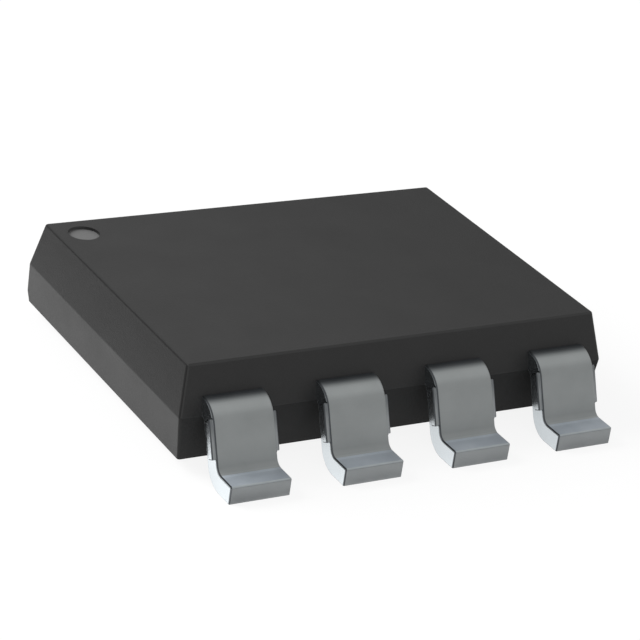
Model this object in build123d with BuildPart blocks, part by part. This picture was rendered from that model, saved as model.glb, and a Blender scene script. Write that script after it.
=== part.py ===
from build123d import *
import os
from math import cos, radians, sin, tan

# Surface-mount power transistor in a flat moulded package. Four gull-wing leads stand
# along one side; the drain plate lies under the body and its tab looks out of the other.
# Millimetres. Z = 0 is the board, X runs along the row of leads, the leads point to -Y
# and the origin is the middle of the footprint. Angles are in degrees.

# Leads, stamped and bent from one sheet
lead_count = 4
lead_pitch = 1.27
lead_width = 0.67
lead_thickness = 0.19
lead_reach = 0.70        # toe beyond the body's front edge
foot_length = 0.345      # toe to the corner of foot and leg, along the middle line
leg_angle = 66           # leg against the board
bend_radius = 0.10       # inside of each bend
dambar_width = 0.40      # stubs left on the leg where the leads were joined
dambar_height = 0.45     # middle of the stubs above the board
stub_reach = 0.037       # stub beyond the side of its lead
stub_thickness = 0.085
stub_setback = 0.015     # stub behind the outer face of its lead

# Moulded body
body_width = 4.98        # at the parting line
body_depth = 3.69        # front edge to rear edge
body_height = 0.97       # underside to top
body_lift = 0.13         # board to underside
parting_height = 0.47    # underside to the parting line of front and sides
front_draft_above = 16.5
rear_draft_above = 12
side_draft_above = 11
front_draft_below = 3
rear_draft_below = 16
side_draft_below = 6
corner_round = 0.028
top_edge_round = 0.015
mark_diameter = 0.34     # round recess that marks the first lead's column
mark_depth = 0.031
mark_from_side = 0.304   # from the top face's left edge
mark_from_rear = 0.318   # from the top face's rear edge

# Drain plate under the chip, with its tab behind the body
plate_thickness = 0.25
plate_width = 4.0
plate_from_front = 0.55  # body's front edge to the plate's front edge
tab_reach = 0.45         # tab beyond the body's rear edge
tab_corner = 0.15
lip_reach = 0.12         # thin lip that the moulding grips
lip_thickness = 0.08
notch_radius = 0.16      # half-round locking notch in each side of the plate
notch_from_rear = 0.30   # body's rear edge to the notch's middle

# Chip and its solder
chip_width = 3.8
chip_depth = 2.5
chip_thickness = 0.15
chip_from_plate = 0.25   # plate's front edge to the chip's front edge
chip_solder = 0.03       # under the chip
clip_solder = 0.04       # on the chip
pad_margin = 0.15        # chip's edge to the source pad

# Inner ends of the leads
root_length = 0.40       # body's front edge to the step down
step_angle = 35          # step down to the chip
joint_from_front = 0.15  # where the three source leads become one sheet
finger_width = 0.24      # gate finger
gate_pad_depth = 0.30
pad_gap = 0.20           # gate finger to source sheet

# Heights
body_top = body_lift + body_height
parting_z = body_lift + parting_height
root_z = parting_z + lead_thickness / 2
foot_z = lead_thickness / 2
rear_parting_z = plate_thickness
chip_bottom = plate_thickness + chip_solder
chip_top = chip_bottom + chip_thickness
clip_z = chip_top + clip_solder + lead_thickness / 2

# Places along Y
footprint = lead_reach + body_depth + tab_reach
toe_y = -footprint / 2
tab_y = footprint / 2
front_y = toe_y + lead_reach
rear_y = front_y + body_depth
heel_y = toe_y + foot_length
shoulder_y = heel_y + (root_z - foot_z) / tan(radians(leg_angle))
joint_y = front_y + joint_from_front
step_y = front_y + root_length
step_end_y = step_y + (root_z - clip_z) / tan(radians(step_angle))
plate_y = front_y + plate_from_front
chip_y = plate_y + chip_from_plate
chip_rear_y = chip_y + chip_depth
finger_end_y = chip_y + pad_margin + gate_pad_depth

# Places along X
first_lead_x = -lead_pitch * (lead_count - 1) / 2
lead_x = [first_lead_x + lead_pitch * i for i in range(lead_count)]
source_left = lead_x[0] - lead_width / 2
source_right = lead_x[-2] + lead_width / 2
gate_left = lead_x[-1] - lead_width / 2
gate_right = lead_x[-1] + lead_width / 2
pad_x = chip_width / 2 - pad_margin


def bent_strip(points, left, right):
    """Sheet bent along its middle line in the YZ plane, from x = left to x = right."""
    with BuildPart() as strip:
        with BuildSketch(Plane.YZ.offset(left)):
            with BuildLine():
                FilletPolyline(*points, radius=bend_radius + lead_thickness / 2)
            trace(line_width=lead_thickness)
        extrude(amount=right - left)
    return strip.part


def block(x_from, x_to, y_from, y_to, z_from, z_to):
    """Plain rectangular block between two corners."""
    with BuildPart() as solid:
        with BuildSketch(Plane.XY.offset(z_from)):
            with Locations(((x_from + x_to) / 2, (y_from + y_to) / 2)):
                Rectangle(x_to - x_from, y_to - y_from)
        extrude(amount=z_to - z_from)
    return solid.part


def source_sheet(y_from, z_from, thickness):
    """Flat sheet over the chip's source pad, which leaves the gate pad's corner free."""
    with BuildPart() as sheet:
        with BuildSketch(Plane.XY.offset(z_from)):
            with BuildLine():
                Polyline(
                    (-pad_x, y_from),
                    (source_right, y_from),
                    (source_right, finger_end_y + pad_gap),
                    (pad_x, finger_end_y + pad_gap),
                    (pad_x, chip_rear_y - pad_margin),
                    (-pad_x, chip_rear_y - pad_margin),
                    close=True,
                )
            make_face()
        extrude(amount=thickness)
    return sheet.part


def dambar_stubs(x):
    """Cut ends of the bar that once joined the leads, one on each side of the leg."""
    leg_y = heel_y + (dambar_height - foot_z) / tan(radians(leg_angle))
    outward = (lead_thickness - stub_thickness) / 2 - stub_setback
    stub_y = leg_y - outward * sin(radians(leg_angle))
    stub_z = dambar_height + outward * cos(radians(leg_angle))
    half_width = lead_width / 2 + stub_reach
    with BuildPart() as stubs:
        with BuildSketch(Plane.YZ.offset(x - half_width)):
            with Locations((stub_y, stub_z)):
                Rectangle(dambar_width, stub_thickness, rotation=leg_angle)
        extrude(amount=2 * half_width)
    return stubs.part


foot_and_leg = [(toe_y, foot_z), (heel_y, foot_z), (shoulder_y, root_z)]
step_down = [(step_y, root_z), (step_end_y, clip_z)]

# Source clip: three leads that become one sheet inside the body, step down to the chip
# and cover its source pad, leaving the corner of the gate pad free
with BuildPart() as source_clip:
    for x in lead_x[:-1]:
        add(bent_strip([*foot_and_leg, (step_y, root_z)], x - lead_width / 2, x + lead_width / 2))
        add(dambar_stubs(x))
    add(bent_strip([(joint_y, root_z), *step_down, (chip_y, clip_z)], source_left, source_right))
    add(source_sheet(chip_y, clip_z - lead_thickness / 2, lead_thickness))

# Gate lead: the last lead, which narrows to a finger that steps down to the gate pad
with BuildPart() as gate_lead:
    add(bent_strip([*foot_and_leg, (joint_y, root_z)], gate_left, gate_right))
    add(dambar_stubs(lead_x[-1]))
    finger_points = [(joint_y, root_z), *step_down, (finger_end_y, clip_z)]
    add(bent_strip(finger_points, gate_left, gate_left + finger_width))

# Drain plate: bare underneath, with a lip that the moulding grips, a locking notch in
# each side and a tab with rounded corners that stands out behind the body
with BuildPart() as drain_plate:
    with BuildSketch():
        with Locations((0, (plate_y + tab_y) / 2)):
            Rectangle(plate_width, tab_y - plate_y)
        fillet(vertices().group_by(Axis.Y)[-1], radius=tab_corner)
    extrude(amount=plate_thickness)
    with BuildSketch(Plane.XY.offset(plate_thickness)):
        with Locations((0, (plate_y - lip_reach + chip_rear_y) / 2)):
            Rectangle(plate_width + 2 * lip_reach, chip_rear_y - plate_y + lip_reach)
    extrude(amount=-lip_thickness)
    with BuildSketch():
        with Locations(
            (-plate_width / 2, rear_y - notch_from_rear),
            (plate_width / 2, rear_y - notch_from_rear),
        ):
            Circle(notch_radius)
    extrude(amount=plate_thickness, mode=Mode.SUBTRACT)

# Silicon chip, soldered down by its whole underside, which is the drain
with BuildPart() as silicon_chip:
    add(block(-chip_width / 2, chip_width / 2, chip_y, chip_rear_y, chip_bottom, chip_top))

with BuildPart() as chip_solder_layer:
    add(block(-chip_width / 2, chip_width / 2, chip_y, chip_rear_y, plate_thickness, chip_bottom))

# Solder between the chip's source pad and the clip
with BuildPart() as source_solder:
    add(source_sheet(chip_y + pad_margin, chip_top, clip_solder))

# Solder under the gate finger
with BuildPart() as gate_solder:
    gate_pad = (gate_left, gate_left + finger_width, chip_y + pad_margin, finger_end_y)
    add(block(*gate_pad, chip_top, chip_top + clip_solder))


def drafted(height, angle):
    """How far a wall of this height leans in at this draft."""
    return height * tan(radians(angle))


# Moulded body: the side view and the front view of the mould, each with its drafts,
# crossed. The parting line runs at the leads' underside along the front and the sides,
# and at the drain plate's top along the rear.
top_front_y = front_y + drafted(body_top - parting_z, front_draft_above)
top_rear_y = rear_y - drafted(body_top - rear_parting_z, rear_draft_above)
top_half_width = body_width / 2 - drafted(body_top - parting_z, side_draft_above)
low_front_y = front_y + drafted(parting_height, front_draft_below)
low_rear_y = rear_y - drafted(rear_parting_z - body_lift, rear_draft_below)
low_half_width = body_width / 2 - drafted(parting_height, side_draft_below)

with BuildPart() as moulded_body:
    with BuildSketch(Plane.YZ):
        with BuildLine():
            Polyline(
                (low_front_y, body_lift),
                (front_y, parting_z),
                (top_front_y, body_top),
                (top_rear_y, body_top),
                (rear_y, rear_parting_z),
                (low_rear_y, body_lift),
                close=True,
            )
        make_face()
    extrude(amount=body_width, both=True)
    with BuildSketch(Plane.XZ):
        with BuildLine():
            Polyline(
                (-low_half_width, body_lift),
                (-body_width / 2, parting_z),
                (-top_half_width, body_top),
                (top_half_width, body_top),
                (body_width / 2, parting_z),
                (low_half_width, body_lift),
                close=True,
            )
        make_face()
    extrude(amount=body_depth, both=True, mode=Mode.INTERSECT)
    upright_edges = edges().filter_by(lambda edge: abs((edge % 0.5).Z) > 0.5)
    fillet(upright_edges, radius=corner_round)
    fillet(faces().sort_by(Axis.Z)[-1].edges(), radius=top_edge_round)
    with BuildSketch(Plane.XY.offset(body_top)):
        with Locations((-top_half_width + mark_from_side, top_rear_y - mark_from_rear)):
            Circle(mark_diameter / 2)
    extrude(amount=-mark_depth, mode=Mode.SUBTRACT)
    # The compound flows round every inner piece and fills what is left
    for piece in (
        drain_plate,
        chip_solder_layer,
        silicon_chip,
        source_solder,
        gate_solder,
        source_clip,
        gate_lead,
    ):
        add(piece.part, mode=Mode.SUBTRACT)

os.makedirs("parts", exist_ok=True)
for label, piece in (
    ("moulded_body", moulded_body),
    ("drain_plate", drain_plate),
    ("chip_solder", chip_solder_layer),
    ("silicon_chip", silicon_chip),
    ("source_solder", source_solder),
    ("source_clip", source_clip),
    ("gate_solder", gate_solder),
    ("gate_lead", gate_lead),
):
    piece.part.label = label
    export_step(piece.part, f"parts/{label}.step")
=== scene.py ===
from math import cos, hypot, radians, sin, tan

import bmesh
import bpy
from mathutils import Matrix


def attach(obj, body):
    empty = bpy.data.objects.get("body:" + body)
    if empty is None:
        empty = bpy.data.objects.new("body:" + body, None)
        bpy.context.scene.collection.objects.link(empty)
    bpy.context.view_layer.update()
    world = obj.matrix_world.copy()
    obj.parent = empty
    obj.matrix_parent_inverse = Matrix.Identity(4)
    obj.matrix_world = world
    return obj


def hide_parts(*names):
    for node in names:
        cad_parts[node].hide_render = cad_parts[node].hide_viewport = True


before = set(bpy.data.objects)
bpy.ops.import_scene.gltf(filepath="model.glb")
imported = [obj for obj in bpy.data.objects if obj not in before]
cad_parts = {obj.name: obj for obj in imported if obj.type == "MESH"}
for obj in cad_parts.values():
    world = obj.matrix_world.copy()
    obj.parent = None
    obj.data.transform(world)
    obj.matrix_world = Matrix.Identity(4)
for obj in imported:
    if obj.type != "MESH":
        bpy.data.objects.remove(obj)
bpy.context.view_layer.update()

# Moulded body
# Black epoxy compound with a fine glass filler, pressed round the lead frame in a
# two-part mould. The walls lean in from the parting line, and a shallow round recess
# left by a pin marks the first lead's column.
body_width = 4.98
front_y = -1.72
rear_y = 1.97
body_bottom = 0.13
body_top = 1.10
parting_z = 0.60
rear_parting_z = 0.25
front_draft_above = 16.5   # degrees
front_draft_below = 3
rear_draft_above = 12
rear_draft_below = 16
side_draft_above = 11
side_draft_below = 6
upright_round = 0.028
top_round = 0.022
bottom_round = 0.005
parting_round = 0.010
mark_radius = 0.17
mark_depth = 0.031
mark_x = -2.0888
mark_y = 1.4713
facing = 0.9               # a face looks along an axis when its normal has this much of it
hair = 1e-4                # tolerances, in millimetres
skin = 0.001
smooth_up_to = 38          # degrees between two faces that are shaded as one
mould_grain = 90000        # features to the metre
filler_specks = 45000
filler_cloud = 1500
moulded_depth = 2.0e-6     # of the grain, in metres
rubbed_depth = 1.0e-6
moulded_roughness = 0.46


def put_down():
    """Leaves edit mode and selects nothing."""
    if bpy.context.mode != "OBJECT":
        bpy.ops.object.mode_set(mode="OBJECT")
    bpy.ops.object.select_all(action="DESELECT")


def take_up(piece):
    """Selects one piece alone."""
    put_down()
    bpy.context.view_layer.objects.active = piece
    piece.select_set(True)


def start_block(name, low, high):
    """A cube between two corners, in millimetres, selected alone and open for editing."""
    put_down()
    middle = [(near + far) / 2 for near, far in zip(low, high)]
    bpy.ops.mesh.primitive_cube_add(size=1, location=middle)
    piece = bpy.context.object
    piece.name = piece.data.name = name
    piece.scale = [far - near for near, far in zip(low, high)]
    bpy.ops.object.transform_apply(location=True, rotation=True, scale=True)
    bpy.ops.object.mode_set(mode="EDIT")
    return piece


def pick_edges(piece, wanted):
    """Selects only the edges whose two ends and two neighbouring normals are wanted."""
    bpy.context.tool_settings.mesh_select_mode = (False, True, False)
    bpy.ops.mesh.select_all(action="DESELECT")
    shape = bmesh.from_edit_mesh(piece.data)
    for edge in shape.edges:
        if len(edge.link_faces) == 2:
            ends = [corner.co for corner in edge.verts]
            if wanted(*ends, *(face.normal for face in edge.link_faces)):
                edge.select_set(True)
    bmesh.update_edit_mesh(piece.data)


def round_off(piece, radius, segments, wanted):
    """Rounds the wanted edges."""
    pick_edges(piece, wanted)
    bpy.ops.mesh.bevel(offset=radius, segments=segments, affect="EDGES", clamp_overlap=False)


def cut_wall(point, outward):
    """Cuts away what lies outside a wall and closes the cut."""
    bpy.ops.mesh.select_all(action="SELECT")
    bpy.ops.mesh.bisect(
        plane_co=point, plane_no=outward, use_fill=True, clear_outer=True, threshold=1e-6
    )


def apply_modifier(piece, kind, **settings):
    """Puts one modifier on a piece and applies it."""
    modifier = piece.modifiers.new(kind.title(), kind)
    for name, value in settings.items():
        setattr(modifier, name, value)
    bpy.ops.object.modifier_apply(modifier=modifier.name)


def bore(piece, radius, depth, middle, vertices):
    """Cuts a round hole with a cylinder."""
    put_down()
    bpy.ops.mesh.primitive_cylinder_add(
        vertices=vertices, radius=radius, depth=depth, location=middle
    )
    cutter = bpy.context.object
    take_up(piece)
    apply_modifier(piece, "BOOLEAN", object=cutter, operation="DIFFERENCE", solver="EXACT")
    bpy.data.objects.remove(cutter)


def set_in_part(piece, finishes, slot, *nodes):
    """Smooths a finished piece, takes it from millimetres to metres and fastens it."""
    take_up(piece)
    bpy.ops.object.shade_smooth_by_angle(angle=radians(smooth_up_to))
    apply_modifier(piece, "WEIGHTED_NORMAL", weight=100, keep_sharp=True)
    piece.scale = (0.001, 0.001, 0.001)
    bpy.ops.object.transform_apply(location=True, rotation=True, scale=True)
    for finish in finishes:
        piece.data.materials.append(finish)
    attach(piece, "root")
    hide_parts(*nodes)


def plug(finish, socket, value):
    """Sets a socket to a plain value or to another node's output."""
    if isinstance(value, bpy.types.NodeSocket):
        finish.node_tree.links.new(value, socket)
    else:
        socket.default_value = value


def fill(finish, node, *values, **named):
    """Sets a node's sockets, in their order or by their names."""
    for socket, value in zip(node.inputs, values):
        plug(finish, socket, value)
    for name, value in named.items():
        plug(finish, node.inputs[name.replace("_", " ")], value)
    return node


def add_node(finish, kind, *values, **named):
    """Adds a shader node and sets its sockets, in their order or by their names."""
    return fill(finish, finish.node_tree.nodes.new(kind), *values, **named)


def start_finish(name, **surface):
    """A material with one Principled shader, whose plain sockets are set here."""
    finish = bpy.data.materials.new(name)
    finish.use_nodes = True
    finish.node_tree.nodes.clear()
    shader = add_node(finish, "ShaderNodeBsdfPrincipled", **surface)
    add_node(finish, "ShaderNodeOutputMaterial", Surface=shader.outputs[0])
    return finish, shader


def object_place(finish):
    """The place on the piece, in metres."""
    return add_node(finish, "ShaderNodeTexCoord").outputs["Object"]


def grain(finish, place, scale, detail=3.0, roughness=0.5):
    """Noise of so many features to the metre."""
    node = add_node(
        finish, "ShaderNodeTexNoise", Vector=place, Scale=scale, Detail=detail, Roughness=roughness
    )
    return node.outputs["Fac"]


def spread(finish, source, low, high, start=0.3, end=0.7):
    """Spreads a noise from one value to another."""
    node = add_node(finish, "ShaderNodeMapRange", Value=source, From_Min=start, From_Max=end)
    return fill(finish, node, To_Min=low, To_Max=high).outputs["Result"]


def work_out(finish, operation, *values):
    """A sum, a product or the like of numbers and other nodes' outputs."""
    node = add_node(finish, "ShaderNodeMath")
    node.operation = operation
    return fill(finish, node, *values).outputs[0]


def grey(level):
    """A colour with no tint."""
    return (level, level, level)


def shade_between(finish, factor, *colours):
    """A colour between two, by a factor. Each colour is a plain one or another node's."""
    node = add_node(finish, "ShaderNodeMix")
    node.data_type = "RGBA"
    plug(finish, node.inputs[0], factor)
    for socket, colour in zip(node.inputs[6:8], colours):
        linked = isinstance(colour, bpy.types.NodeSocket)
        plug(finish, socket, colour if linked else (*colour, 1))
    return node.outputs[2]


def along(finish, place, axis, start, end):
    """Goes smoothly from 0 to 1 between two places on an axis, in metres."""
    axes = add_node(finish, "ShaderNodeSeparateXYZ", place)
    node = add_node(finish, "ShaderNodeMapRange")
    node.interpolation_type = "SMOOTHSTEP"
    fill(finish, node, Value=axes.outputs[axis], From_Min=start, From_Max=end)
    return node.outputs["Result"]


def moulded_epoxy(name, dark, light, roughness, depth, painted_ramp=None, gloss=0.5):
    """Compound with the fine eroded grain of its mould and a faint cloud of filler.

    The sixth argument is painted light: the level that it starts from along X, and the two places
    between which it fades.
    """
    finish, shader = start_finish(name, IOR=1.5, Specular_IOR_Level=gloss)
    place = object_place(finish)
    fine = grain(finish, place, mould_grain, 4.0, 0.6)
    cloud = grain(finish, place, filler_cloud)
    specks = add_node(finish, "ShaderNodeTexVoronoi", Vector=place, Scale=filler_specks)
    blend = work_out(finish, "MULTIPLY_ADD", fine, 0.7, spread(finish, cloud, 0.0, 0.3))
    colour = shade_between(finish, blend, grey(dark), grey(light))
    if painted_ramp:
        start_level, start, end = painted_ramp
        colour = shade_between(
            finish, along(finish, place, "X", start, end), grey(start_level), colour
        )
    pits = spread(finish, specks.outputs["Distance"], 0.0, 0.35, 0.0, 0.6)
    height = work_out(finish, "ADD", fine, pits)
    bump = add_node(finish, "ShaderNodeBump", Height=height, Strength=1.0, Distance=depth)
    fill(
        finish, shader, Base_Color=colour, Normal=bump.outputs["Normal"],
        Roughness=spread(finish, cloud, roughness - 0.03, roughness + 0.04),
    )
    return finish


black_compound = moulded_epoxy("black_compound", 0.020, 0.037, moulded_roughness, moulded_depth)
# Painted shade, with a less glossy finish: a darker copy of the compound for the front wall below the
# parting line.
shaded_lower_compound = moulded_epoxy(
    "shaded_lower_compound", 0.013, 0.028, moulded_roughness, moulded_depth, gloss=0.25
)
# Painted shade: a much darker copy of the compound for the side walls and their rounded edges.
shaded_side_compound = moulded_epoxy("shaded_side_compound", 0.003, 0.013, moulded_roughness, moulded_depth)
# Painted shade: a dark line on the front upright corners.
corner_shade_line = moulded_epoxy("corner_shade_line", 0.014, 0.024, 0.58, rubbed_depth, gloss=0.3)
# Painted highlight: a lighter line on the front upright corners above the parting line and along the
# front top edge.
corner_highlight = moulded_epoxy("corner_highlight", 0.036, 0.054, 0.40, rubbed_depth)
# Painted sheen: the floor of the pin's recess is a much lighter grey than the compound, for its shine.
pin_mark_sheen = moulded_epoxy("pin_mark_sheen", 0.13, 0.20, 0.45, rubbed_depth)
# Painted light on the recess wall: lighter at its left, fading to the plain compound towards the right.
mark_wall = moulded_epoxy(
    "mark_wall", 0.012, 0.026, moulded_roughness, rubbed_depth, painted_ramp=(0.10, -0.00209, -0.00193)
)
# Painted shade and painted light: the top is a darker copy of the compound, lighter towards its left end
# and darker towards the right.
top_compound = moulded_epoxy(
    "top_compound", 0.007, 0.021, moulded_roughness, moulded_depth, painted_ramp=(0.030, -0.0027, 0.0027)
)
compounds = (
    black_compound, pin_mark_sheen, top_compound, corner_shade_line, corner_highlight, shaded_side_compound,
    shaded_lower_compound, mark_wall,
)


def compound_at(middle, normal):
    """Which copy of the compound a face gets, by the face's place and direction; most copies carry
    painted shade or painted highlight.
    """
    from_mark = hypot(middle.x - mark_x, middle.y - mark_y)
    # In the recess: painted sheen on the floor, painted light on the wall.
    if from_mark < mark_radius + hair and middle.z < body_top - hair:
        return pin_mark_sheen if normal.z > facing else mark_wall
    # The top gets its painted shade and painted light.
    if middle.z > body_top - hair:
        return top_compound
    # On the front upright corners: a painted dark line on the faces turned most to the side, a painted
    # highlight above the parting line and painted shade below it.
    on_front_corner = normal.y < -0.1 and 0.10 < abs(normal.x) < 0.97
    if on_front_corner and abs(normal.x) > 0.60:
        return corner_shade_line
    if on_front_corner:
        return corner_highlight if middle.z > parting_z else shaded_lower_compound
    # Along the front top edge, a painted highlight.
    on_front_top_edge = normal.y < -0.55 and 0.35 < normal.z < 0.75
    if on_front_top_edge:
        return corner_highlight
    # The side walls and their rounded edges get painted shade.
    if abs(normal.x) > 0.6:
        return shaded_side_compound
    # Painted shade on the front wall below the parting line.
    below_parting_line = normal.y < -facing and normal.z < 0.1
    return shaded_lower_compound if below_parting_line else black_compound


moulding = start_block(
    "moulding", (-body_width / 2, front_y, body_bottom), (body_width / 2, rear_y, body_top)
)
for side in (-1, 1):
    for draft, up in ((side_draft_above, 1), (side_draft_below, -1)):
        cut_wall(
            (side * body_width / 2, 0, parting_z),
            (side * cos(radians(draft)), 0, up * sin(radians(draft))),
        )
for wall_y, wall_z, side, draft, up in (
    (front_y, parting_z, -1, front_draft_above, 1),
    (front_y, parting_z, -1, front_draft_below, -1),
    (rear_y, rear_parting_z, 1, rear_draft_above, 1),
    (rear_y, rear_parting_z, 1, rear_draft_below, -1),
):
    cut_wall((0, wall_y, wall_z), (0, side * cos(radians(draft)), up * sin(radians(draft))))
# The upright corners, then the edges of the top and of the underside, then the parting line
round_off(
    moulding, upright_round, 5,
    lambda start, end, left, right: max(abs(left.x * right.y), abs(left.y * right.x)) > 0.5,
)
round_off(
    moulding, top_round, 4,
    lambda start, end, left, right: max(left.z, right.z) > 0.99 and min(left.z, right.z) < 0.9,
)
round_off(
    moulding, bottom_round, 3,
    lambda start, end, left, right: min(left.z, right.z) < -0.99 and max(left.z, right.z) > -0.9,
)
round_off(
    moulding, parting_round, 3,
    lambda start, end, left, right: abs(start.z - end.z) < skin and left.z * right.z < 0,
)
bore(moulding, mark_radius, 2 * mark_depth, (mark_x, mark_y, body_top), vertices=96)
for face in moulding.data.polygons:
    face.material_index = compounds.index(compound_at(face.center, face.normal))
set_in_part(moulding, compounds, "mould_compound", "moulded_body")

# Source clip
# One strip of tin-plated copper, stamped and bent. Its three leads join inside the
# body into a sheet that steps down to the chip; the short stubs on each leg are what
# is left of the bar that held the leads together until they were trimmed.
lead_pitch = 1.27
lead_width = 0.67
lead_thickness = 0.19
leg_angle = radians(66)
bend_middle = 0.195
toe_y = -2.42
heel_y = -2.075
foot_z = 0.095
root_z = 0.695
leg_length = (root_z - foot_z) / sin(leg_angle)
shoulder_y = heel_y + leg_length * cos(leg_angle)
bend_reach = bend_middle * tan(leg_angle / 2)
joint_y = -1.57
step_angle = radians(35)
step_y = -1.32
clip_z = 0.565
step_length = (root_z - clip_z) / sin(step_angle)
step_reach = bend_middle * tan(step_angle / 2)
step_start_y = step_y - step_reach
step_run = step_length - 2 * step_reach
step_end_y = step_y + step_length * cos(step_angle) + step_reach
chip_y = -0.92
sheet_rear_y = 1.43
pad_x = 1.75
gate_corner_y = -0.27
stub_low = 0.189
stub_high = 0.589
stub_reach = 0.037
stub_setback = 0.015
stub_thickness = 0.085
edge_round = 0.017
entry_share = 1.0          # of that rounding, on the edges where the punch entered
burr_share = 0.4           # where it came out
stub_share = 0.7           # on the stubs
end_share = 0.8            # on the upright edges of the toe
leg_bend_steps = 11
step_bend_steps = 6
slack = 0.01               # tolerance, in millimetres
crystal_grain = 60000      # features to the metre
lustre_cloud = 4000
crystal_depth = 0.6e-6     # metres
shaded_tin = (0.028, 0.036, 0.046)


def pick_faces(piece, wanted):
    """Selects only the faces whose middle and normal are the wanted ones."""
    bpy.context.tool_settings.mesh_select_mode = (False, False, True)
    bpy.ops.mesh.select_all(action="DESELECT")
    shape = bmesh.from_edit_mesh(piece.data)
    for face in shape.faces:
        if wanted(face.calc_center_median(), face.normal):
            face.select_set(True)
    bmesh.update_edit_mesh(piece.data)


def draw_out(x, y, z):
    """Extrudes what is selected."""
    bpy.ops.mesh.extrude_region_move(TRANSFORM_OT_translate={"value": (x, y, z)})


def bend(angle, y, z, steps):
    """Turns what is selected about a line along X and leaves the bent strip behind it."""
    bpy.ops.mesh.spin(
        steps=steps, angle=angle, center=(0, y, z), axis=(-1, 0, 0), use_auto_merge=False
    )


def widen(factor, x, y, z):
    """Starts a new stretch of what is selected and widens it by a factor from one point."""
    draw_out(0, 0, 0)
    bpy.ops.transform.resize(value=(factor, 1, 1), center_override=(x, y, z))


def score(point, across):
    """Divides every face that a plane meets."""
    bpy.ops.mesh.select_all(action="SELECT")
    bpy.ops.mesh.bisect(plane_co=point, plane_no=across, threshold=1e-6)


def face_outwards():
    """Turns the faces of the shape being edited outwards."""
    bpy.ops.mesh.select_all(action="SELECT")
    bpy.ops.mesh.normals_make_consistent(inside=False)


def height_over_leg(point):
    """How far a point stands outside the middle of the leg's thickness."""
    return (point.z - foot_z) * cos(leg_angle) - (point.y - heel_y) * sin(leg_angle)


def grow_leads(strip, columns):
    """Draws the leads out of a strip's front edge, down to the board and on to the toes."""
    for depth in (stub_setback, stub_setback + stub_thickness):
        score((0, 0, root_z + lead_thickness / 2 - depth), (0, 0, 1))
    pick_faces(
        strip,
        lambda middle, normal: normal.y < -facing
        and any(abs(middle.x - x) < lead_width / 2 for x in columns),
    )
    draw_out(0, shoulder_y + bend_reach - joint_y, 0)
    bend(leg_angle, shoulder_y + bend_reach, root_z - bend_middle, leg_bend_steps)
    for length in (leg_length - bend_reach - stub_low, stub_low - bend_reach):
        draw_out(0, -length * cos(leg_angle), -length * sin(leg_angle))
    bend(-leg_angle, heel_y - bend_reach, foot_z + bend_middle, leg_bend_steps)
    draw_out(0, toe_y - (heel_y - bend_reach), 0)
    face_outwards()
    front = lead_thickness / 2 - stub_setback
    for side in (-1, 1):
        pick_faces(
            strip,
            lambda middle, normal: normal.x * side > facing
            and any(abs(middle.x - x) < lead_width / 2 + slack for x in columns)
            and stub_low < (middle.z - foot_z) / sin(leg_angle) < stub_high
            and front - stub_thickness < height_over_leg(middle) < front,
        )
        draw_out(side * stub_reach, 0, 0)


def pick_rear(strip):
    """Selects a strip's rear end."""
    pick_faces(strip, lambda middle, normal: normal.y > facing and middle.y > joint_y)


def step_down():
    """Bends what is selected down to the level of the chip's pads."""
    bend(-step_angle, step_start_y, root_z - bend_middle, step_bend_steps)
    draw_out(0, step_run * cos(step_angle), -step_run * sin(step_angle))
    bend(step_angle, step_end_y, clip_z + bend_middle, step_bend_steps)


def off_lead(columns, point):
    """How far a point stands beyond the side of the nearest lead."""
    return min(abs(point.x - x) for x in columns) - lead_width / 2


def lead_share(columns, middle, normals):
    """The share of the rounding that an edge of the leads gets."""
    if middle.y > joint_y + slack:
        return 0.0
    if off_lead(columns, middle) > slack:
        return stub_share
    if max(normal.z for normal in normals) > 0.3:
        return entry_share
    if min(normal.z for normal in normals) < -0.3:
        return burr_share
    return end_share


def round_edges(piece, radius, share, least_turn):
    """Rounds each outer edge that turns by more than some degrees, by its share."""
    shape = bmesh.from_edit_mesh(piece.data)
    weight = shape.edges.layers.float.new("bevel_weight_edge")
    for edge in shape.edges:
        if len(edge.link_faces) == 2 and edge.is_convex:
            if edge.calc_face_angle() > radians(least_turn):
                middle = (edge.verts[0].co + edge.verts[1].co) / 2
                edge[weight] = share(middle, [face.normal for face in edge.link_faces])
    bmesh.update_edit_mesh(piece.data)
    bpy.ops.object.mode_set(mode="OBJECT")
    apply_modifier(
        piece, "BEVEL", width=radius, segments=3, limit_method="WEIGHT",
        use_clamp_overlap=False, miter_outer="MITER_ARC",
    )


def grade(ramp, stops):
    """Gives a colour ramp its levels, by pairs of a place from 0 to 1 and a level."""
    elements = ramp.color_ramp.elements
    for spot, level in stops[1:-1]:
        elements.new(spot)
    for element, (spot, level) in zip(elements, stops):
        element.color = (*grey(level), 1)
    return ramp.outputs[0]


def levels_along(finish, place, axis, stops):
    """A level that changes along an axis, by pairs of a place in millimetres and a level."""
    first, last = stops[0][0], stops[-1][0]
    axes = add_node(finish, "ShaderNodeSeparateXYZ", place)
    position = add_node(
        finish, "ShaderNodeMapRange", Value=axes.outputs[axis],
        From_Min=first / 1000, From_Max=last / 1000,
    )
    ramp = add_node(finish, "ShaderNodeValToRGB", position.outputs["Result"])
    return grade(ramp, [((spot - first) / (last - first), level) for spot, level in stops])


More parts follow.
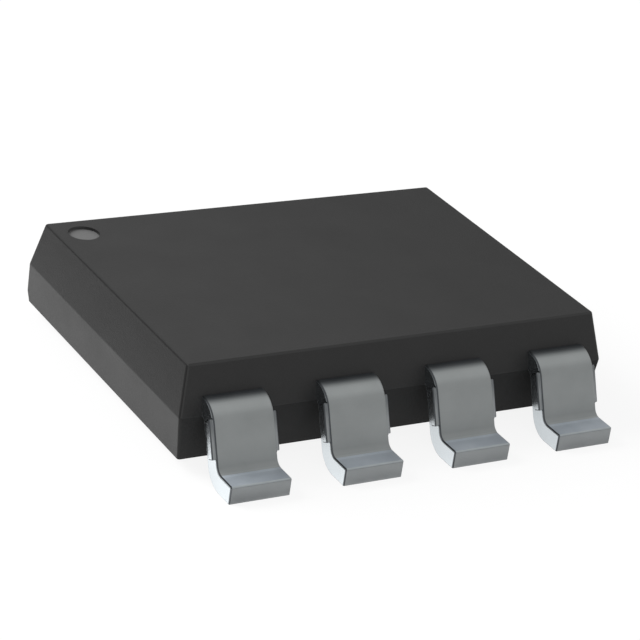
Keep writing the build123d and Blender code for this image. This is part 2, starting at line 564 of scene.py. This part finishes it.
def tin_plate(name, dark, light, rough_low, rough_high, metallic=1.0, light_and_shade=None, axis="Z"):
    """Matte tin over copper: fine crystals, a cloudy lustre, and painted shade and highlight along an
    axis.
    """
    finish, shader = start_finish(name, Metallic=metallic)
    place = object_place(finish)
    crystals = grain(finish, place, crystal_grain, 4.0, 0.6)
    cloud = grain(finish, place, lustre_cloud)
    mix = work_out(finish, "MULTIPLY_ADD", crystals, 0.4, spread(finish, cloud, 0.0, 0.6))
    colour = shade_between(finish, mix, dark, light)
    if light_and_shade:
        colour = shade_between(finish, levels_along(finish, place, axis, light_and_shade), shaded_tin, colour)
    bump = add_node(
        finish, "ShaderNodeBump", Height=crystals, Strength=1.0, Distance=crystal_depth
    )
    fill(
        finish, shader, Base_Color=colour, Normal=bump.outputs["Normal"],
        Roughness=spread(finish, cloud, rough_low, rough_high),
    )
    return finish


# Painted shade and highlight on the tin: pairs of a height over the board and a level, and of a place
# along Y for the foot; a lower level is more shaded.
# Rolled sheet: painted shade on the lower leg and at the root by the body, and painted highlights in a
# thin line at the foot's height and in a band on the upper bend.
sheet_shade_and_highlight = (
    (0.17, 0.75), (0.188, 1.0), (0.192, 1.0), (0.199, 0.78), (0.23, 0.77), (0.26, 0.81),
    (0.33, 0.86), (0.45, 0.895), (0.62, 0.865), (0.68, 0.88), (0.72, 1.0), (0.748, 1.0),
    (0.763, 0.92), (0.774, 0.65), (0.784, 0.30), (0.79, 0.15),
)
# Punched sides: painted shade, darker towards the body.
side_shade = ((0.30, 1.0), (0.42, 0.88), (0.52, 0.72), (0.64, 0.60), (0.79, 0.55))
# The painted highlight line along the side edges: painted shade towards the body.
side_edge_shade = ((0.60, 1.0), (0.70, 0.80), (0.76, 0.40), (0.785, 0.10))
# Foot top: a painted highlight towards the heel.
foot_highlight = ((-2.42, 0.79), (-2.275, 0.79), (-2.24, 0.84), (-2.22, 1.0), (-2.20, 1.0))
# Stubs: painted shade, darker towards the body.
stub_shade = ((0.30, 1.0), (0.45, 1.0), (0.60, 0.60))
rolled_tin = tin_plate(
    "rolled_tin", (0.505, 0.534, 0.534), (0.584, 0.612, 0.612), 0.40, 0.48, 0.7, sheet_shade_and_highlight
)
punched_side = tin_plate(
    "punched_side", (0.77, 0.82, 0.85), (0.83, 0.88, 0.91), 0.22, 0.28, 1.0, side_shade
)
cut_end = tin_plate(
    "cut_end", (0.45, 0.475, 0.485), (0.52, 0.545, 0.555), 0.38, 0.46, 0.8, stub_shade
)
# Painted shade: a dark line on the rounded edges that face left, on the stubs' edges and under the toe.
edge_shade_line = tin_plate("edge_shade_line", (0.12, 0.13, 0.14), (0.16, 0.17, 0.18), 0.30, 0.38)
# Painted highlight: a lighter line on the upper rounded edges of the foot and toe.
toe_edge_highlight = tin_plate("toe_edge_highlight", (0.55, 0.60, 0.62), (0.63, 0.68, 0.70), 0.40, 0.48, 0.6)
# Painted reflection: a lighter, bluish copy of the tin on the upward-facing foot tops.
foot_top_reflection = tin_plate(
    "foot_top_reflection", (0.53, 0.593, 0.662), (0.705, 0.768, 0.83), 0.42, 0.50, 0.45, foot_highlight, "Y"
)
# Painted highlight: a light grey line on the outer part of the side edges.
side_edge_highlight = tin_plate(
    "side_edge_highlight", (0.40, 0.43, 0.45), (0.50, 0.53, 0.55), 0.40, 0.50, 0.2, side_edge_shade
)
lead_finishes = (
    rolled_tin, punched_side, cut_end, edge_shade_line, foot_top_reflection, side_edge_highlight, toe_edge_highlight
)


def lead_finish_at(columns, middle, normal):
    """The finish that a face of the leads gets, by its place and direction."""
    beyond_side = off_lead(columns, middle) > skin
    from_toe = middle.y - toe_y
    if middle.y > joint_y:
        return rolled_tin
    if abs(normal.x) > 0.97:
        return punched_side
    # The painted highlight line on the side edges.
    if abs(normal.x) > 0.85 and from_toe > 0.02 and not beyond_side:
        return side_edge_highlight
    # The painted dark line on left-facing edges, on the stubs' edges and under the toe.
    if normal.x < -0.12 or (abs(normal.x) > 0.12 and beyond_side):
        return edge_shade_line
    under_toe = from_toe < 0.03 and -0.97 < normal.y < -0.1 and normal.z < -0.1
    if under_toe:
        return edge_shade_line
    if normal.y < -0.97 or beyond_side:
        return cut_end
    # Foot tops get the painted reflection, the upper edges of the foot and toe the painted highlight.
    if normal.z > 0.1 and middle.z < lead_thickness + skin:
        return foot_top_reflection if normal.z > 0.99 else toe_edge_highlight
    return rolled_tin


def finish_leads(strip, columns, node):
    """Rounds a strip's edges, gives its faces their finishes and sets it in the part."""
    face_outwards()
    round_edges(strip, edge_round, lambda *edge: lead_share(columns, *edge), least_turn=40)
    for face in strip.data.polygons:
        finish = lead_finish_at(columns, face.center, face.normal)
        face.material_index = lead_finishes.index(finish)
    set_in_part(strip, lead_finishes, "tinned_leads", node)


source_columns = [-1.5 * lead_pitch, -0.5 * lead_pitch, 0.5 * lead_pitch]
source_left = source_columns[0] - lead_width / 2
source_right = source_columns[-1] + lead_width / 2
clip = start_block(
    "clip_with_leads",
    (source_left, joint_y, root_z - lead_thickness / 2),
    (source_right, step_start_y, root_z + lead_thickness / 2),
)
for side_x in (
    source_columns[0] + lead_width / 2,
    source_columns[2] - lead_width / 2,
    source_columns[1] - lead_width / 2,
    source_columns[1] + lead_width / 2,
):
    score((side_x, 0, 0), (1, 0, 0))
grow_leads(clip, source_columns)
pick_rear(clip)
step_down()
draw_out(0, chip_y - step_end_y, 0)
widen((source_right + pad_x) / (source_right - source_left), source_right, chip_y, clip_z)
draw_out(0, gate_corner_y - chip_y, 0)
widen(2 * pad_x / (source_right + pad_x), -pad_x, gate_corner_y, clip_z)
draw_out(0, sheet_rear_y - gate_corner_y, 0)
finish_leads(clip, source_columns, "source_clip")

# Gate lead
# The last lead of the row, cut and bent like the others but a piece of its own: inside
# the body it narrows to a finger that steps down to the chip's small gate pad.
gate_column = 1.5 * lead_pitch
gate_left = gate_column - lead_width / 2
neck_y = joint_y + 0.02
finger_width = 0.24
finger_end_y = -0.47
gate = start_block(
    "gate_strip",
    (gate_left, joint_y, root_z - lead_thickness / 2),
    (gate_left + lead_width, neck_y, root_z + lead_thickness / 2),
)
grow_leads(gate, [gate_column])
pick_rear(gate)
widen(finger_width / lead_width, gate_left, neck_y, root_z)
draw_out(0, step_start_y - neck_y, 0)
step_down()
draw_out(0, finger_end_y - step_end_y, 0)
finish_leads(gate, [gate_column], "gate_lead")

# Drain plate
# Thicker tin-plated copper under the chip. The compound grips a thin lip along its upper
# edge and a half-round notch in each side, and its tab stands out behind the body.
plate_half = 2.0
plate_y = -1.17
plate_rear_y = 2.42
plate_thickness = 0.25
lip_bottom = 0.17
lip_reach = 0.12
lip_rear_y = 1.58
notch_radius = 0.16
notch_y = 1.67
tab_corner = 0.15
plate_round = 0.02
lower_share = 0.5          # of that rounding, on the edges below the plate's top
plate = start_block(
    "plate_with_tab", (-plate_half, plate_y, 0), (plate_half, plate_rear_y, plate_thickness)
)
score((0, 0, lip_bottom), (0, 0, 1))
score((0, lip_rear_y, 0), (0, 1, 0))
pick_faces(plate, lambda middle, normal: normal.y < -facing and middle.z > lip_bottom)
draw_out(0, -lip_reach, 0)
for side in (-1, 1):
    pick_faces(
        plate,
        lambda middle, normal: normal.x * side > facing
        and middle.z > lip_bottom
        and middle.y < lip_rear_y,
    )
    draw_out(side * lip_reach, 0, 0)
round_off(
    plate, tab_corner, 10,
    lambda start, end, left, right: min(start.y, end.y) > plate_rear_y - skin
    and abs(start.x - end.x) < skin,
)
for side in (-1, 1):
    bore(plate, notch_radius, 1, (side * plate_half, notch_y, 0), vertices=64)
bpy.ops.object.mode_set(mode="EDIT")
round_edges(
    plate, plate_round,
    lambda middle, normals: 1.0 if middle.z > plate_thickness - slack else lower_share,
    least_turn=60,
)
tinned_copper = tin_plate(
    "tinned_copper", (0.45, 0.475, 0.475), (0.52, 0.545, 0.545), 0.38, 0.46, 0.8
)
set_in_part(plate, (tinned_copper,), "tinned_plate", "drain_plate")

# Chip and its solder
# The silicon chip lies on a thin sheet of solder over the drain plate; more solder joins
# its upper pads to the clip and to the gate finger. The body covers all of them.


def grained_layer(name, metallic, roughness, scale, detail, dark, light):
    """A layer with a faint grain between two tones."""
    finish, shader = start_finish(name, Metallic=metallic, Roughness=roughness)
    level = spread(finish, grain(finish, object_place(finish), scale, detail), 0.0, 1.0)
    fill(finish, shader, Base_Color=shade_between(finish, level, dark, light))
    return finish


silicon = grained_layer(
    "silicon", 0.6, 0.25, 20000, 2.0, (0.045, 0.045, 0.055), (0.07, 0.07, 0.085)
)
solder = grained_layer("solder", 1.0, 0.35, 25000, 4.0, (0.42, 0.42, 0.43), (0.60, 0.60, 0.61))
for node, finish in (
    ("silicon_chip", silicon),
    ("chip_solder", solder),
    ("source_solder", solder),
    ("gate_solder", solder),
):
    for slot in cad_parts[node].material_slots:
        slot.material = finish

# Floor
# White table that the part stands on, a hair above the soles, so that they aren't in one
# plane with it. Seen directly it is white, with the part's soft shadow. The metal sees it
# glow with painted light: a painted pool brighter on the left than on the right, and
# painted shade in front of the toes.
floor_z = 2e-6
floor_radius = 0.25
white_to_camera = 0.88
before_toes = (-0.00238, -0.00247)       # from under the leads to the floor in front, along Y
past_first_side = (-0.00236, -0.00220)   # from the floor left of the first lead, along X
put_down()
bpy.ops.mesh.primitive_circle_add(
    vertices=96, radius=floor_radius, fill_type="NGON", location=(0, 0, floor_z)
)
bpy.ops.object.transform_apply(location=True, rotation=True, scale=True)
floor = bpy.context.object
floor.name = "floor"
table = bpy.data.materials.new("white_table")
table.use_nodes = True
table.node_tree.nodes.clear()
rays = add_node(table, "ShaderNodeLightPath")
to_camera = rays.outputs["Is Camera Ray"]
to_metal = work_out(
    table, "MAXIMUM", rays.outputs["Is Glossy Ray"], rays.outputs["Is Transmission Ray"]
)
# Painted shade: the metal sees the table a little darker than the light that bounces off it does.
bare_colour = shade_between(table, to_metal, grey(0.50), grey(0.45))
table_colour = shade_between(table, to_camera, bare_colour, grey(0.14))
lit = add_node(table, "ShaderNodeBsdfDiffuse", Color=table_colour)
place = object_place(table)
# The painted glow that the metal sees: a pool of light behind the leads, brightest just left of the
# body, and painted shade on the floor before the toes.
behind_leads = levels_along(table, place, "X", (
    (-8, 0.03), (-4.0, 0.14), (-3.35, 0.50), (-3.0, 0.93), (-2.75, 0.86), (-2.5, 0.71),
    (-2.2, 0.70), (-1.4, 0.82), (-1.0, 0.78), (0.15, 0.71), (1.45, 0.62), (2.4, 0.36), (4, 0.35),
))
before_leads = levels_along(
    table, place, "X", ((-2.2, 0.04), (-1.95, 0.15), (-1.7, 0.20), (1.8, 0.21))
)
in_front = work_out(
    table, "MULTIPLY", along(table, place, "Y", *before_toes), along(table, place, "X", *past_first_side)
)
glow_in_metal = work_out(
    table, "MULTIPLY", to_metal, shade_between(table, in_front, behind_leads, before_leads)
)
glow_level = work_out(table, "MULTIPLY_ADD", to_camera, white_to_camera, glow_in_metal)
glow = add_node(table, "ShaderNodeEmission", Strength=glow_level)
both = add_node(table, "ShaderNodeAddShader", lit.outputs[0], glow.outputs[0])
add_node(table, "ShaderNodeOutputMaterial", Surface=both.outputs[0])
floor.data.materials.append(table)

# Studio
# The pale room round the table: a dome, brighter overhead, and one broad soft lamp
# behind the part on its left. The camera sees the room as plain white.
dome_levels = ((0.0, 0.43), (0.40, 0.39), (0.75, 0.48), (1.0, 0.50))   # from the horizon up
world = bpy.data.worlds.new("studio")
bpy.context.scene.world = world
world.use_nodes = True
world.node_tree.nodes.clear()
direction = add_node(world, "ShaderNodeTexCoord")
axes = add_node(world, "ShaderNodeSeparateXYZ", direction.outputs["Generated"])
sky = grade(add_node(world, "ShaderNodeValToRGB", axes.outputs["Z"]), dome_levels)
dome = add_node(world, "ShaderNodeBackground", Color=sky)
backdrop = add_node(world, "ShaderNodeBackground", Color=(1, 1, 1, 1))
world_rays = add_node(world, "ShaderNodeLightPath")
seen = add_node(
    world, "ShaderNodeMixShader",
    world_rays.outputs["Is Camera Ray"], dome.outputs[0], backdrop.outputs[0],
)
add_node(world, "ShaderNodeOutputWorld", Surface=seen.outputs[0])
lamp_data = bpy.data.lights.new("soft_lamp", "AREA")
lamp_data.size = 0.05
lamp_data.energy = 0.068
soft_lamp = bpy.data.objects.new("soft_lamp", lamp_data)
bpy.context.scene.collection.objects.link(soft_lamp)
soft_lamp.visible_glossy = False
soft_lamp.location = (-0.050, 0.044, 0.045)
soft_lamp.rotation_euler = soft_lamp.location.to_track_quat("Z", "Y").to_euler()

# Camera
# Long lens from the front left, a little above and tilted to one side, as the
# photograph was taken.
camera_place = (-0.01311718, -0.02033143, 0.01190392)
heading = 32.9254          # degrees from +Y towards +X
downwards = 25.1573
tilt = 8.2799              # about the line of sight
camera_data = bpy.data.cameras.new("camera")
camera_data.sensor_width = 36
camera_data.lens = 141.889
camera_data.clip_start = 0.0001
camera_data.clip_end = 10
camera = bpy.data.objects.new("camera", camera_data)
bpy.context.scene.collection.objects.link(camera)
camera.matrix_world = (
    Matrix.Translation(camera_place)
    @ Matrix.Rotation(radians(-heading), 4, "Z")
    @ Matrix.Rotation(radians(90 - downwards), 4, "X")
    @ Matrix.Rotation(radians(tilt), 4, "Z")
)
bpy.context.scene.camera = camera
bpy.context.scene.view_settings.view_transform = "Standard"
